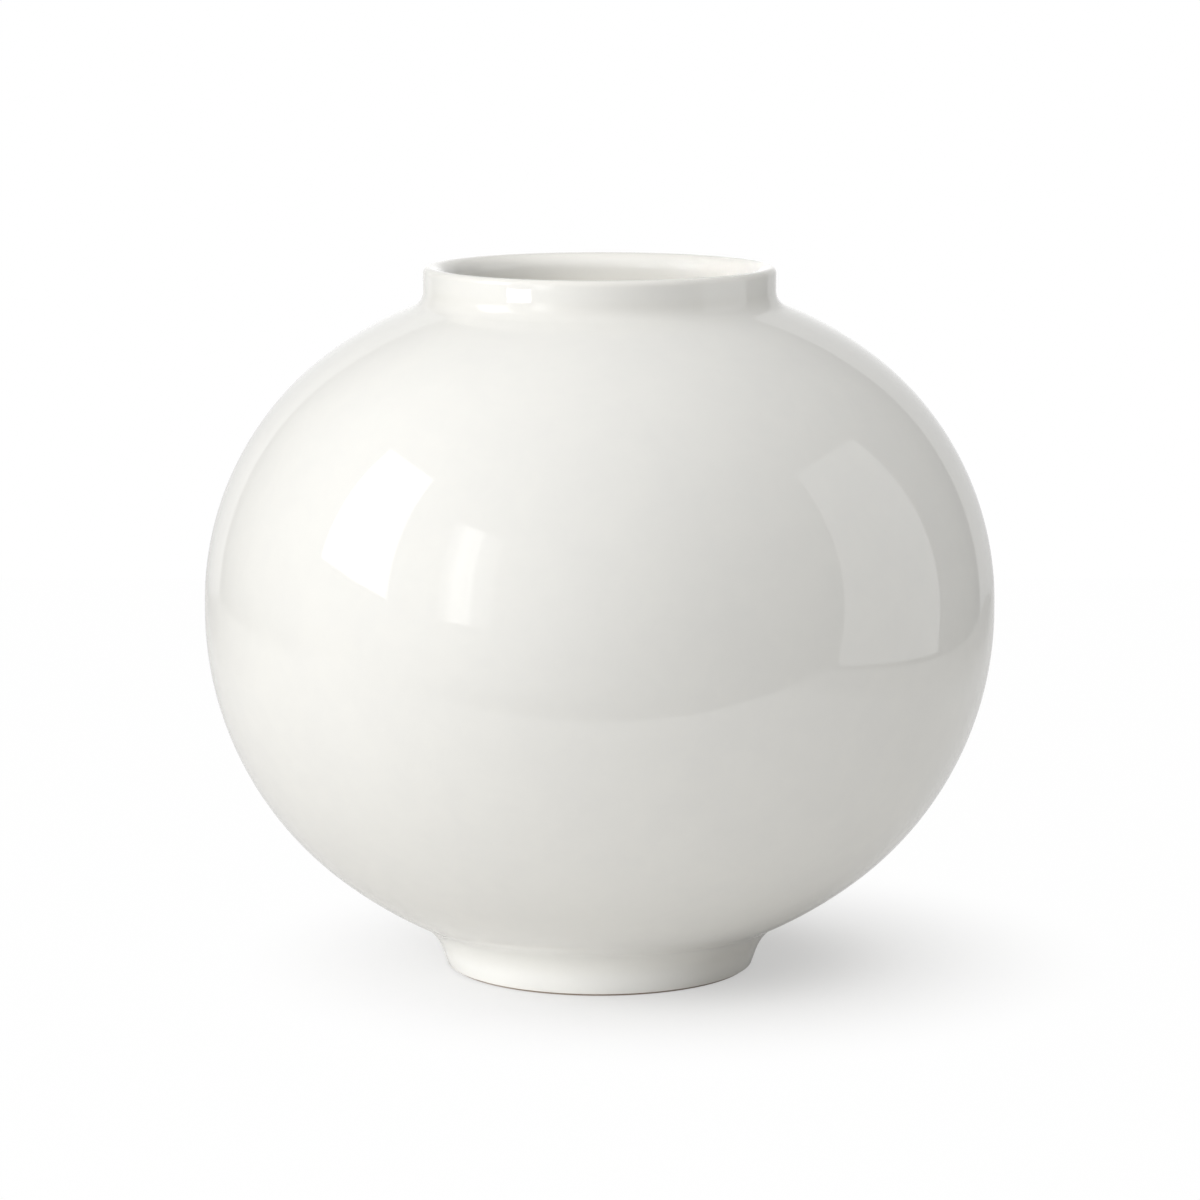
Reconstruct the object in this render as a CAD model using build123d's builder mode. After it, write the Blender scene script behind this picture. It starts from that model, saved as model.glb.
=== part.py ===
from build123d import *
from collections import namedtuple
from math import atan2, cos, degrees, pi, radians, sin, sqrt, tan
import os

os.makedirs("parts", exist_ok=True)

# A white porcelain moon jar, in millimetres, +Z up.
# The origin is the centre of the ring that the jar stands on, and the axis of the jar is Z.
# Two thrown bowls are luted rim to rim at the belly. A foot ring is luted below, a neck collar above,
# and glaze covers all of it except the ring of bare clay that the jar stands on.

# Overall sizes over the glaze
jar_height = 400.5
belly_diameter = 448.0
belly_height = 208.5
belly_band_height = 5.5

# Curve of both bowls, shaped with one rib: the first arc's radius against that of one plain arc
# from the belly to the root, and the part of the whole turn that the first arc takes
rib_fullness = 0.981
rib_turn_share = 0.729

# Neck collar and lip, over the glaze
neck_diameter = 199.0
neck_height = 20.2
neck_root_fillet = 9.5
lip_outer_round = 3.5

# Foot ring
foot_diameter = 174.2
foot_flare = 19.9
foot_root_height = 22.8
foot_sweep_radius = 35.0
foot_ring_height = 13.0
foot_ring_width = 11.0
foot_chamfer = 1.0
bare_clay_above_chamfer = 0.3

# Clay walls
bowl_wall = 7.5
neck_wall = 11.2
base_thickness = 10.0
mouth_root_round = 6.0
lip_flat = 0.3
lip_inner_sweep = 8.0
lip_inner_turn = 52.0

# Luting slip and glaze
belly_slip_thickness = 2.0
neck_slip_thickness = 1.5
foot_slip_thickness = 1.5
bead_radius = 8.0
bead_height = 1.0
glaze = 0.6
foot_well_round = 2.0

# Places worked out from the sizes
belly_radius = belly_diameter / 2
band_bottom = belly_height - belly_band_height / 2
band_top = belly_height + belly_band_height / 2
neck_radius = neck_diameter / 2
neck_root_height = jar_height - neck_height
foot_radius = foot_diameter / 2
flare = radians(foot_flare)
foot_root_radius = foot_radius + foot_root_height * tan(flare)
clay_top = jar_height - glaze
mouth_radius = neck_radius - glaze - neck_wall
lip_edge_radius = neck_radius - lip_outer_round - lip_flat
lip_turn = radians(lip_inner_turn)
lip_sweep_width = lip_inner_sweep * (1 - cos(lip_turn))
lip_crest_round = (lip_edge_radius - mouth_radius - lip_sweep_width) / cos(lip_turn)
lip_depth = lip_inner_sweep * sin(lip_turn) + lip_crest_round * (1 - sin(lip_turn))
mouth_cut_top = jar_height + neck_wall
bowl_inside = glaze + bowl_wall
well_radius = foot_radius - foot_ring_width
well_ceiling = foot_ring_height + foot_slip_thickness
floor_height = well_ceiling + base_thickness
glaze_line = foot_chamfer + bare_clay_above_chamfer
belly_joint = (belly_height - belly_slip_thickness / 2, belly_height + belly_slip_thickness / 2)
neck_joint = (neck_root_height - neck_slip_thickness / 2, neck_root_height + neck_slip_thickness / 2)

Curve = namedtuple("Curve", "rim_radius rim_turn root_radius centre_inwards centre_along")


def bowl_curve(inwards, along):
    """Two tangent arcs from an upright rim to a root that lies so far inwards and along the axis."""
    plain_radius = (inwards**2 + along**2) / (2 * inwards)
    plain_turn = 2 * atan2(inwards, along)
    rim_radius = rib_fullness * plain_radius
    turn = rib_turn_share * plain_turn
    left_inwards = inwards - rim_radius * (1 - cos(turn))
    left_along = along - rim_radius * sin(turn)
    bow = left_inwards * cos(turn) - left_along * sin(turn)
    root_radius = (left_inwards**2 + left_along**2) / (2 * bow)
    centre_inwards = rim_radius - (rim_radius - root_radius) * cos(turn)
    centre_along = (rim_radius - root_radius) * sin(turn)
    return Curve(rim_radius, turn, root_radius, centre_inwards, centre_along)


# Upper bowl: where its shoulder arc is centred, and how far it turns before the neck
upper = bowl_curve(belly_radius - neck_radius, neck_root_height - band_top)
shoulder_centre = Vector(belly_radius - upper.centre_inwards, band_top + upper.centre_along)


def shoulder_turn(arc_radius, wall_radius, corner_radius):
    """Turn from the belly to where a rounded corner leads from the shoulder arc into an upright wall."""
    sideways = wall_radius + corner_radius - shoulder_centre.X
    return atan2(sqrt((arc_radius + corner_radius) ** 2 - sideways**2), sideways)


outer_shoulder = shoulder_turn(upper.root_radius, neck_radius, neck_root_fillet)
inner_shoulder = shoulder_turn(upper.root_radius - bowl_inside, mouth_radius, mouth_root_round)

# Lower bowl: its last arc, and the hollow sweep that leads from it into the flared foot
lower = bowl_curve(belly_radius - foot_root_radius, band_bottom - foot_root_height)
underside_centre = Vector(belly_radius - lower.centre_inwards, band_bottom - lower.centre_along)
up_the_foot = Vector(sin(flare), cos(flare))
out_of_the_foot = Vector(cos(flare), -sin(flare))
foot_edge = Vector(foot_radius, 0)
sweep_start = foot_edge + out_of_the_foot * foot_sweep_radius - underside_centre
sweep_reach = lower.root_radius + foot_sweep_radius
sweep_along = sweep_start.dot(up_the_foot)
foot_wall_length = -sweep_along - sqrt(sweep_along**2 - sweep_start.dot(sweep_start) + sweep_reach**2)
sweep_centre = foot_edge + up_the_foot * foot_wall_length + out_of_the_foot * foot_sweep_radius
underside_turn = atan2(underside_centre.Y - sweep_centre.Y, sweep_centre.X - underside_centre.X)

# Inside floor: the arc that leads from the flat floor into the wall, level with the top of the sweep
floor_turn = pi / 2 - underside_turn
wall_foot_radius = underside_centre.X + (lower.root_radius - bowl_inside) * cos(underside_turn)
wall_foot_height = underside_centre.Y - (lower.root_radius - bowl_inside) * sin(underside_turn)
floor_blend_radius = (wall_foot_height - floor_height) / (1 - cos(floor_turn))
floor_radius = wall_foot_radius - floor_blend_radius * sin(floor_turn)


def form_inside(depth):
    """Half section of all that lies deeper than this under the glazed outside, with no hollow."""
    foot_wall_top = sweep_centre - out_of_the_foot * (foot_sweep_radius + depth)
    with BuildSketch() as half:
        with BuildLine():
            stand = Line((0, 0), (foot_radius - depth / cos(flare), 0))
            foot = Line(stand @ 1, foot_wall_top)
            sweep = JernArc(foot @ 1, foot % 1, foot_sweep_radius + depth, degrees(flare - underside_turn))
            under = JernArc(
                sweep @ 1, sweep % 1, lower.root_radius - depth, degrees(underside_turn - lower.rim_turn)
            )
            low_rim = JernArc(under @ 1, under % 1, lower.rim_radius - depth, degrees(lower.rim_turn))
            band = Line(low_rim @ 1, (belly_radius - depth, band_top))
            high_rim = JernArc(band @ 1, band % 1, upper.rim_radius - depth, degrees(upper.rim_turn))
            shoulder = JernArc(
                high_rim @ 1, high_rim % 1, upper.root_radius - depth, degrees(outer_shoulder - upper.rim_turn)
            )
            root = JernArc(shoulder @ 1, shoulder % 1, neck_root_fillet + depth, -degrees(outer_shoulder))
            neck = Line(root @ 1, (neck_radius - depth, jar_height - lip_outer_round))
            lip = JernArc(neck @ 1, neck % 1, lip_outer_round - depth, 90)
            top = Line(lip @ 1, (0, jar_height - depth))
            Line(top @ 1, stand @ 0)
        make_face()
    return half.sketch


def hollow_inside(depth):
    """Half section of the hollow that is left inside a coat this thick on the clay's inner wall."""
    inside = bowl_inside + depth
    with BuildSketch() as half:
        with BuildLine():
            floor = Line((0, floor_height + depth), (floor_radius, floor_height + depth))
            blend = JernArc(floor @ 1, floor % 1, floor_blend_radius - depth, degrees(floor_turn))
            under = JernArc(
                blend @ 1, blend % 1, lower.root_radius - inside, degrees(underside_turn - lower.rim_turn)
            )
            low_rim = JernArc(under @ 1, under % 1, lower.rim_radius - inside, degrees(lower.rim_turn))
            band = Line(low_rim @ 1, (belly_radius - inside, band_top))
            high_rim = JernArc(band @ 1, band % 1, upper.rim_radius - inside, degrees(upper.rim_turn))
            shoulder = JernArc(
                high_rim @ 1, high_rim % 1, upper.root_radius - inside, degrees(inner_shoulder - upper.rim_turn)
            )
            root = JernArc(shoulder @ 1, shoulder % 1, mouth_root_round + depth, -degrees(inner_shoulder))
            bore = Line(root @ 1, (mouth_radius - depth, clay_top - lip_depth))
            lip = JernArc(bore @ 1, bore % 1, lip_inner_sweep + depth, -lip_inner_turn)
            crest = JernArc(lip @ 1, lip % 1, lip_crest_round + depth, lip_inner_turn - 90)
            above = Line(crest @ 1, (lip_edge_radius, mouth_cut_top))
            top = Line(above @ 1, (0, mouth_cut_top))
            Line(top @ 1, floor @ 0)
        make_face()
    return half.sketch


clay_form = form_inside(glaze)
glazed_form = form_inside(0)
clay_hollow = hollow_inside(0)
glazed_hollow = hollow_inside(glaze)


def slip_bead(coat):
    """Half section of the roll of slip squeezed out inside the belly joint, under a coat this thick."""
    with BuildSketch() as half:
        with Locations((belly_radius - bowl_inside - bead_height + bead_radius, belly_height)):
            Circle(bead_radius + coat)
        add(clay_hollow, mode=Mode.INTERSECT)
    return half.sketch


def level_band(low, high):
    """Half section of everything between two heights."""
    with BuildSketch() as half:
        with Locations((0, low)):
            Rectangle(belly_diameter, high - low, align=Align.MIN)
    return half.sketch


# Foot ring, with both edges of the bare face that it stands on broken
with BuildPart() as foot_ring:
    with BuildSketch(Plane.XZ):
        add(clay_form)
        add(level_band(0, foot_ring_height), mode=Mode.INTERSECT)
        Rectangle(well_radius, foot_ring_height, align=Align.MIN, mode=Mode.SUBTRACT)
    revolve(axis=Axis.Z)
    chamfer(foot_ring.edges().group_by(Axis.Z)[0], length=foot_chamfer)
foot_ring.part.label = "foot_ring"
export_step(foot_ring.part, "parts/foot_ring.step")

# Slip between the foot ring and the base of the lower bowl
with BuildPart() as foot_slip:
    with BuildSketch(Plane.XZ):
        add(clay_form)
        add(level_band(foot_ring_height, well_ceiling), mode=Mode.INTERSECT)
        Rectangle(well_radius, well_ceiling, align=Align.MIN, mode=Mode.SUBTRACT)
    revolve(axis=Axis.Z)
foot_slip.part.label = "foot_slip"
export_step(foot_slip.part, "parts/foot_slip.step")

# Lower bowl, with its flat base and its upright rim at the belly
with BuildPart() as lower_bowl:
    with BuildSketch(Plane.XZ):
        add(clay_form)
        add(clay_hollow, mode=Mode.SUBTRACT)
        add(level_band(well_ceiling, belly_joint[0]), mode=Mode.INTERSECT)
    revolve(axis=Axis.Z)
lower_bowl.part.label = "lower_bowl"
export_step(lower_bowl.part, "parts/lower_bowl.step")

# Slip between the two rims, with the roll that stands out inside
with BuildPart() as belly_slip:
    with BuildSketch(Plane.XZ):
        add(clay_form)
        add(clay_hollow, mode=Mode.SUBTRACT)
        add(level_band(*belly_joint), mode=Mode.INTERSECT)
        add(slip_bead(0))
    revolve(axis=Axis.Z)
belly_slip.part.label = "belly_slip"
export_step(belly_slip.part, "parts/belly_slip.step")

# Upper bowl, thrown the same way, turned over and cut open for the mouth
with BuildPart() as upper_bowl:
    with BuildSketch(Plane.XZ):
        add(clay_form)
        add(clay_hollow, mode=Mode.SUBTRACT)
        add(level_band(belly_joint[1], neck_joint[0]), mode=Mode.INTERSECT)
    revolve(axis=Axis.Z)
upper_bowl.part.label = "upper_bowl"
export_step(upper_bowl.part, "parts/upper_bowl.step")

# Slip between the upper bowl's cut edge and the collar
with BuildPart() as neck_slip:
    with BuildSketch(Plane.XZ):
        add(clay_form)
        add(clay_hollow, mode=Mode.SUBTRACT)
        add(level_band(*neck_joint), mode=Mode.INTERSECT)
    revolve(axis=Axis.Z)
neck_slip.part.label = "neck_slip"
export_step(neck_slip.part, "parts/neck_slip.step")

# Neck collar, with the rounded lip
with BuildPart() as neck_collar:
    with BuildSketch(Plane.XZ):
        add(clay_form)
        add(clay_hollow, mode=Mode.SUBTRACT)
        add(level_band(neck_joint[1], clay_top), mode=Mode.INTERSECT)
    revolve(axis=Axis.Z)
neck_collar.part.label = "neck_collar"
export_step(neck_collar.part, "parts/neck_collar.step")

# Glaze outside, from the bare foot edge up to the inner edge of the lip
with BuildPart() as outer_glaze:
    with BuildSketch(Plane.XZ):
        add(glazed_form)
        add(clay_form, mode=Mode.SUBTRACT)
        add(clay_hollow, mode=Mode.SUBTRACT)
        add(level_band(glaze_line, jar_height), mode=Mode.INTERSECT)
    revolve(axis=Axis.Z)
outer_glaze.part.label = "outer_glaze"
export_step(outer_glaze.part, "parts/outer_glaze.step")

# Glaze inside, over the roll of slip and up into the mouth
with BuildPart() as inner_glaze:
    with BuildSketch(Plane.XZ):
        add(clay_hollow)
        add(glazed_hollow, mode=Mode.SUBTRACT)
        add(slip_bead(glaze))
        add(slip_bead(0), mode=Mode.SUBTRACT)
        add(level_band(floor_height, jar_height), mode=Mode.INTERSECT)
    revolve(axis=Axis.Z)
inner_glaze.part.label = "inner_glaze"
export_step(inner_glaze.part, "parts/inner_glaze.step")

# Glaze in the well inside the foot ring
with BuildPart() as foot_well_glaze:
    with BuildSketch(Plane.XZ):
        with Locations((0, glaze_line)):
            Rectangle(well_radius, well_ceiling - glaze_line, align=Align.MIN)
            Rectangle(
                well_radius - glaze, well_ceiling - glaze - glaze_line, align=Align.MIN, mode=Mode.SUBTRACT
            )
    revolve(axis=Axis.Z)
    inner_corner = foot_well_glaze.edges().filter_by(GeomType.CIRCLE).group_by(Axis.Z)[-2]
    fillet(inner_corner, radius=foot_well_round)
foot_well_glaze.part.label = "foot_well_glaze"
export_step(foot_well_glaze.part, "parts/foot_well_glaze.step")
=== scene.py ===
"""Looks of a white porcelain moon jar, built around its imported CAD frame.

The coats of glaze and the bare foot ring are turned on the jar's axis, as a potter turns them, and each
stands for the CAD node that it covers. The clay bowls, the collar and the slip stay as the CAD made them.
Lengths are in metres, +Z is up, and the origin is the centre of the ring that the jar stands on.
"""

import logging
import math
from dataclasses import dataclass, field
from enum import Enum

import bpy
from bpy.types import Material, Node, NodeSocket, NodeTree, Object, World, bpy_prop_collection
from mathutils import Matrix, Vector


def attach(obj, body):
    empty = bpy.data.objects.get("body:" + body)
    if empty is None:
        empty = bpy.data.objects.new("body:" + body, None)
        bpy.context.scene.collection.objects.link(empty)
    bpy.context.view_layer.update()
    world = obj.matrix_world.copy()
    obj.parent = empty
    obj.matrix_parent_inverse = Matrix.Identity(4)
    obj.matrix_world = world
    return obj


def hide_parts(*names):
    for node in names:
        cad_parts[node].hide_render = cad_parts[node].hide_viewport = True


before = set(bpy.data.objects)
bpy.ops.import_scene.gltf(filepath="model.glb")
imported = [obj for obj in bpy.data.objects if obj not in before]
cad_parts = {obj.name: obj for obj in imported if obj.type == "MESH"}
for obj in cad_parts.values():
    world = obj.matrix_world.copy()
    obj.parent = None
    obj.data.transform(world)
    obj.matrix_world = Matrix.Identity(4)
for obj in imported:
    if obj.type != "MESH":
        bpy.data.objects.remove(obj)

log = logging.getLogger("moon_jar")

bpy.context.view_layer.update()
BODY = "root"
MM = 0.001

# Places of the colour sockets on a Mix node, whose names it shares with its other data types
MIX_BASE = 6
MIX_OVER = 7
MIX_RESULT = 2

Point = tuple[float, float]
Place = tuple[float, float, float]
Colour = tuple[float, float, float]


class Slot(Enum):
    """The record's material slots that the new pieces take their finish from."""

    PORCELAIN = "porcelain"
    GLAZE = "white_glaze"


class Effect(Enum):
    """Surface effects that several finishes share, each a shader node group."""

    CLOUDS = "clouds in the tone"
    RIPPLE = "ripple of a fired coat"
    RINGS = "throwing rings"
    GRAIN = "grain of dry clay"
    LEVEL = "band about a level"


@dataclass(frozen=True)
class Line:
    """A straight stretch of a half section, between two points of radius and height."""

    start: Point
    end: Point

    @property
    def length(self) -> float:
        """Length of the stretch."""
        return math.dist(self.start, self.end)

    def backwards(self) -> "Line":
        """The same stretch, drawn the other way."""
        return Line(self.end, self.start)


@dataclass(frozen=True)
class Arc:
    """A round stretch of a half section. Angle 0 points outwards and a quarter turn points up."""

    centre: Point
    radius: float
    from_angle: float
    to_angle: float

    @property
    def turn(self) -> float:
        """Signed angle that the stretch turns through."""
        return self.to_angle - self.from_angle

    @property
    def length(self) -> float:
        """Length of the stretch."""
        return abs(self.turn) * self.radius

    @property
    def start(self) -> Point:
        """First point of the stretch."""
        return along(self.centre, self.from_angle, self.radius)

    @property
    def end(self) -> Point:
        """Last point of the stretch."""
        return along(self.centre, self.to_angle, self.radius)

    def backwards(self) -> "Arc":
        """The same stretch, drawn the other way."""
        return Arc(self.centre, self.radius, self.to_angle, self.from_angle)


Run = Line | Arc


def along(point: Point, angle: float, distance: float) -> Point:
    """The point that lies so far from another, in one direction of the half section.

    Args:
        point: Radius and height to start from.
        angle: Direction, from outwards (0) to upwards (a quarter turn).
        distance: How far to go.

    Returns:
        Radius and height of the new point.
    """
    return point[0] + distance * math.cos(angle), point[1] + distance * math.sin(angle)


def backwards(runs: list[Run]) -> list[Run]:
    """A chain of stretches drawn from its other end.

    Args:
        runs: The chain, in drawing order.

    Returns:
        The reversed chain.
    """
    return [run.backwards() for run in reversed(runs)]


@dataclass(frozen=True)
class BowlCurve:
    """The two tangent arcs of a thrown bowl, from its upright rim to its root."""

    rim_radius: float
    rim_turn: float
    root_radius: float
    centre_inwards: float
    centre_along: float


@dataclass(frozen=True)
class JarForm:
    """Sizes of the jar over its glaze and the half sections that follow from them."""

    jar_height: float = 400.5 * MM
    belly_radius: float = 224.0 * MM
    belly_height: float = 208.5 * MM
    belly_band_height: float = 5.5 * MM
    rib_fullness: float = 0.981
    rib_turn_share: float = 0.729
    neck_radius: float = 99.5 * MM
    neck_height: float = 20.2 * MM
    neck_root_fillet: float = 9.5 * MM
    lip_outer_round: float = 3.5 * MM
    lip_flat: float = 0.3 * MM
    lip_inner_sweep: float = 8.0 * MM
    lip_inner_turn: float = math.radians(52.0)
    foot_radius: float = 87.1 * MM
    foot_flare: float = math.radians(19.9)
    foot_root_height: float = 22.8 * MM
    foot_sweep_radius: float = 35.0 * MM
    foot_ring_height: float = 13.0 * MM
    foot_ring_width: float = 11.0 * MM
    foot_chamfer: float = 1.0 * MM
    foot_slip: float = 1.5 * MM
    foot_well_round: float = 2.0 * MM
    glaze: float = 0.6 * MM
    glaze_line: float = 1.3 * MM
    bowl_wall: float = 7.5 * MM
    neck_wall: float = 11.2 * MM
    base_thickness: float = 10.0 * MM
    mouth_root_round: float = 6.0 * MM
    bead_radius: float = 8.0 * MM
    bead_height: float = 1.0 * MM
    bead_fillet: float = 5.0 * MM

    @property
    def band_bottom(self) -> float:
        """Height where the upright band at the belly starts."""
        return self.belly_height - self.belly_band_height / 2

    @property
    def band_top(self) -> float:
        """Height where the upright band at the belly ends."""
        return self.belly_height + self.belly_band_height / 2

    @property
    def neck_root_height(self) -> float:
        """Height where the shoulder would meet the collar with no fillet."""
        return self.jar_height - self.neck_height

    @property
    def clay_top(self) -> float:
        """Height of the collar's clay."""
        return self.jar_height - self.glaze

    @property
    def mouth_radius(self) -> float:
        """Radius of the collar's bore in the clay."""
        return self.neck_radius - self.glaze - self.neck_wall

    @property
    def lip_edge_radius(self) -> float:
        """Radius on top of the lip where the outer and the inner coat meet."""
        return self.neck_radius - self.lip_outer_round - self.lip_flat

    @property
    def lip_crest_round(self) -> float:
        """Radius of the clay between the lip's long inner curve and its top."""
        sweep_width = self.lip_inner_sweep * (1 - math.cos(self.lip_inner_turn))
        return (self.lip_edge_radius - self.mouth_radius - sweep_width) / math.cos(self.lip_inner_turn)

    @property
    def lip_depth(self) -> float:
        """How far below the clay's top the lip starts to curve out of the bore."""
        rise = math.sin(self.lip_inner_turn)
        return self.lip_inner_sweep * rise + self.lip_crest_round * (1 - rise)

    @property
    def bowl_inside(self) -> float:
        """Depth of the clay's inner wall under the outer glaze."""
        return self.glaze + self.bowl_wall

    @property
    def well_radius(self) -> float:
        """Radius of the well inside the foot ring, in the clay."""
        return self.foot_radius - self.foot_ring_width

    @property
    def well_ceiling(self) -> float:
        """Height of the well's ceiling, in the clay."""
        return self.foot_ring_height + self.foot_slip

    @property
    def floor_height(self) -> float:
        """Height of the clay floor inside the jar."""
        return self.well_ceiling + self.base_thickness

    def bowl_curve(self, inwards: float, upwards: float) -> BowlCurve:
        """Arcs from an upright rim to a root that lies so far inwards and along the axis.

        Args:
            inwards: Distance from the rim to the root, towards the axis.
            upwards: Distance from the rim to the root, along the axis.

        Returns:
            The two arcs' radii, the first one's turn and the second one's centre.
        """
        plain_radius = (inwards**2 + upwards**2) / (2 * inwards)
        rim_radius = self.rib_fullness * plain_radius
        turn = self.rib_turn_share * 2 * math.atan2(inwards, upwards)
        left_in = inwards - rim_radius * (1 - math.cos(turn))
        left_up = upwards - rim_radius * math.sin(turn)
        bow = left_in * math.cos(turn) - left_up * math.sin(turn)
        root_radius = (left_in**2 + left_up**2) / (2 * bow)
        centre_in = rim_radius - (rim_radius - root_radius) * math.cos(turn)
        centre_up = (rim_radius - root_radius) * math.sin(turn)
        return BowlCurve(rim_radius, turn, root_radius, centre_in, centre_up)

    @property
    def upper(self) -> BowlCurve:
        """Curve of the upper bowl, from the belly to the neck."""
        return self.bowl_curve(self.belly_radius - self.neck_radius, self.neck_root_height - self.band_top)

    @property
    def lower(self) -> BowlCurve:
        """Curve of the lower bowl, from the belly to the foot."""
        foot_root_radius = self.foot_radius + self.foot_root_height * math.tan(self.foot_flare)
        return self.bowl_curve(self.belly_radius - foot_root_radius, self.band_bottom - self.foot_root_height)

    @property
    def shoulder_centre(self) -> Point:
        """Centre of the arc at the shoulder."""
        return self.belly_radius - self.upper.centre_inwards, self.band_top + self.upper.centre_along

    @property
    def underside_centre(self) -> Point:
        """Centre of the arc at the underside."""
        return self.belly_radius - self.lower.centre_inwards, self.band_bottom - self.lower.centre_along

    @property
    def sweep_centre(self) -> Point:
        """Centre of the hollow sweep that is tangent to the flared foot and to the underside."""
        out_angle, up_angle = -self.foot_flare, math.pi / 2 - self.foot_flare
        from_edge = along((self.foot_radius, 0.0), out_angle, self.foot_sweep_radius)
        offset = Vector(from_edge) - Vector(self.underside_centre)
        along_foot = offset.dot(Vector((math.cos(up_angle), math.sin(up_angle))))
        reach = self.lower.root_radius + self.foot_sweep_radius
        wall_length = -along_foot - math.sqrt(along_foot**2 - offset.length_squared + reach**2)
        return along(from_edge, up_angle, wall_length)

    @property
    def underside_turn(self) -> float:
        """Turn from the belly down to where the underside meets the sweep."""
        away = Vector(self.sweep_centre) - Vector(self.underside_centre)
        return math.atan2(-away.y, away.x)

    def shoulder_turn(self, arc_radius: float, wall_radius: float, corner: float) -> float:
        """Turn from the belly up to where a corner of this radius leads into an upright wall."""
        sideways = wall_radius + corner - self.shoulder_centre[0]
        return math.atan2(math.sqrt((arc_radius + corner) ** 2 - sideways**2), sideways)

    def foot_wall(self, depth: float, height: float) -> Point:
        """Point on the flared foot, so deep under the glazed outside and so high above the ground."""
        at_ground = self.foot_radius - depth / math.cos(self.foot_flare)
        return at_ground + height * math.tan(self.foot_flare), height

    def outside(self, depth: float, bottom: float) -> list[Run]:
        """Half section so deep under the glazed outside, from the foot up to the middle of the lip.

        Args:
            depth: Depth under the glazed outside.
            bottom: Height on the foot where the half section starts.

        Returns:
            The chain of stretches, upwards.
        """
        lower, upper, half_turn = self.lower, self.upper, math.pi
        shoulder = self.shoulder_turn(upper.root_radius, self.neck_radius, self.neck_root_fillet)
        sweep = Arc(
            self.sweep_centre,
            self.foot_sweep_radius + depth,
            half_turn - self.foot_flare,
            half_turn - self.underside_turn,
        )
        rim_low = (self.belly_radius - lower.rim_radius, self.band_bottom)
        rim_high = (self.belly_radius - upper.rim_radius, self.band_top)
        corner = along(self.shoulder_centre, shoulder, upper.root_radius + self.neck_root_fillet)
        lip = (self.neck_radius - self.lip_outer_round, self.jar_height - self.lip_outer_round)
        wall = self.neck_radius - depth
        top = self.jar_height - depth
        return [
            Line(self.foot_wall(depth, bottom), sweep.start),
            sweep,
            Arc(self.underside_centre, lower.root_radius - depth, -self.underside_turn, -lower.rim_turn),
            Arc(rim_low, lower.rim_radius - depth, -lower.rim_turn, 0.0),
            Line((self.belly_radius - depth, self.band_bottom), (self.belly_radius - depth, self.band_top)),
            Arc(rim_high, upper.rim_radius - depth, 0.0, upper.rim_turn),
            Arc(self.shoulder_centre, upper.root_radius - depth, upper.rim_turn, shoulder),
            Arc(corner, self.neck_root_fillet + depth, half_turn + shoulder, half_turn),
            Line((wall, corner[1]), (wall, lip[1])),
            Arc(lip, self.lip_outer_round - depth, 0.0, half_turn / 2),
            Line((lip[0], top), (self.lip_edge_radius, top)),
        ]

    def inside(self, coat: float) -> list[Run]:
        """Half section of the hollow inside a coat of this thickness, from the axis up to the lip.

        Args:
            coat: Thickness of the coat on the clay's inner wall.

        Returns:
            The chain of stretches, upwards.
        """
        lower, upper, half_turn = self.lower, self.upper, math.pi
        inside = self.bowl_inside + coat
        arc_radius = upper.root_radius - self.bowl_inside
        shoulder = self.shoulder_turn(arc_radius, self.mouth_radius, self.mouth_root_round)
        floor_turn = half_turn / 2 - self.underside_turn
        wall_foot = along(self.underside_centre, -self.underside_turn, lower.root_radius - self.bowl_inside)
        blend_radius = (wall_foot[1] - self.floor_height) / (1 - math.cos(floor_turn))
        blend = (wall_foot[0] - blend_radius * math.sin(floor_turn), self.floor_height + blend_radius)
        corner = along(self.shoulder_centre, shoulder, arc_radius + self.mouth_root_round)
        bore = self.mouth_radius - coat
        lip_start = (self.mouth_radius + self.lip_inner_sweep, self.clay_top - self.lip_depth)
        crest = (self.lip_edge_radius, self.clay_top - self.lip_crest_round)
        lip_turned = half_turn - self.lip_inner_turn
        rim_low = (self.belly_radius - lower.rim_radius, self.band_bottom)
        rim_high = (self.belly_radius - upper.rim_radius, self.band_top)
        bead = self.bead(coat)
        low_end = math.asin((bead[0].start[1] - self.band_bottom) / (lower.rim_radius - inside))
        high_start = math.asin((bead[-1].end[1] - self.band_top) / (upper.rim_radius - inside))
        return [
            Line((0.0, self.floor_height + coat), (blend[0], self.floor_height + coat)),
            Arc(blend, blend_radius - coat, -half_turn / 2, -self.underside_turn),
            Arc(self.underside_centre, lower.root_radius - inside, -self.underside_turn, -lower.rim_turn),
            Arc(rim_low, lower.rim_radius - inside, -lower.rim_turn, low_end),
            *bead,
            Arc(rim_high, upper.rim_radius - inside, high_start, upper.rim_turn),
            Arc(self.shoulder_centre, upper.root_radius - inside, upper.rim_turn, shoulder),
            Arc(corner, self.mouth_root_round + coat, half_turn + shoulder, half_turn),
            Line((bore, corner[1]), (bore, lip_start[1])),
            Arc(lip_start, self.lip_inner_sweep + coat, half_turn, lip_turned),
            Arc(crest, self.lip_crest_round + coat, lip_turned, half_turn / 2),
        ]

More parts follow.
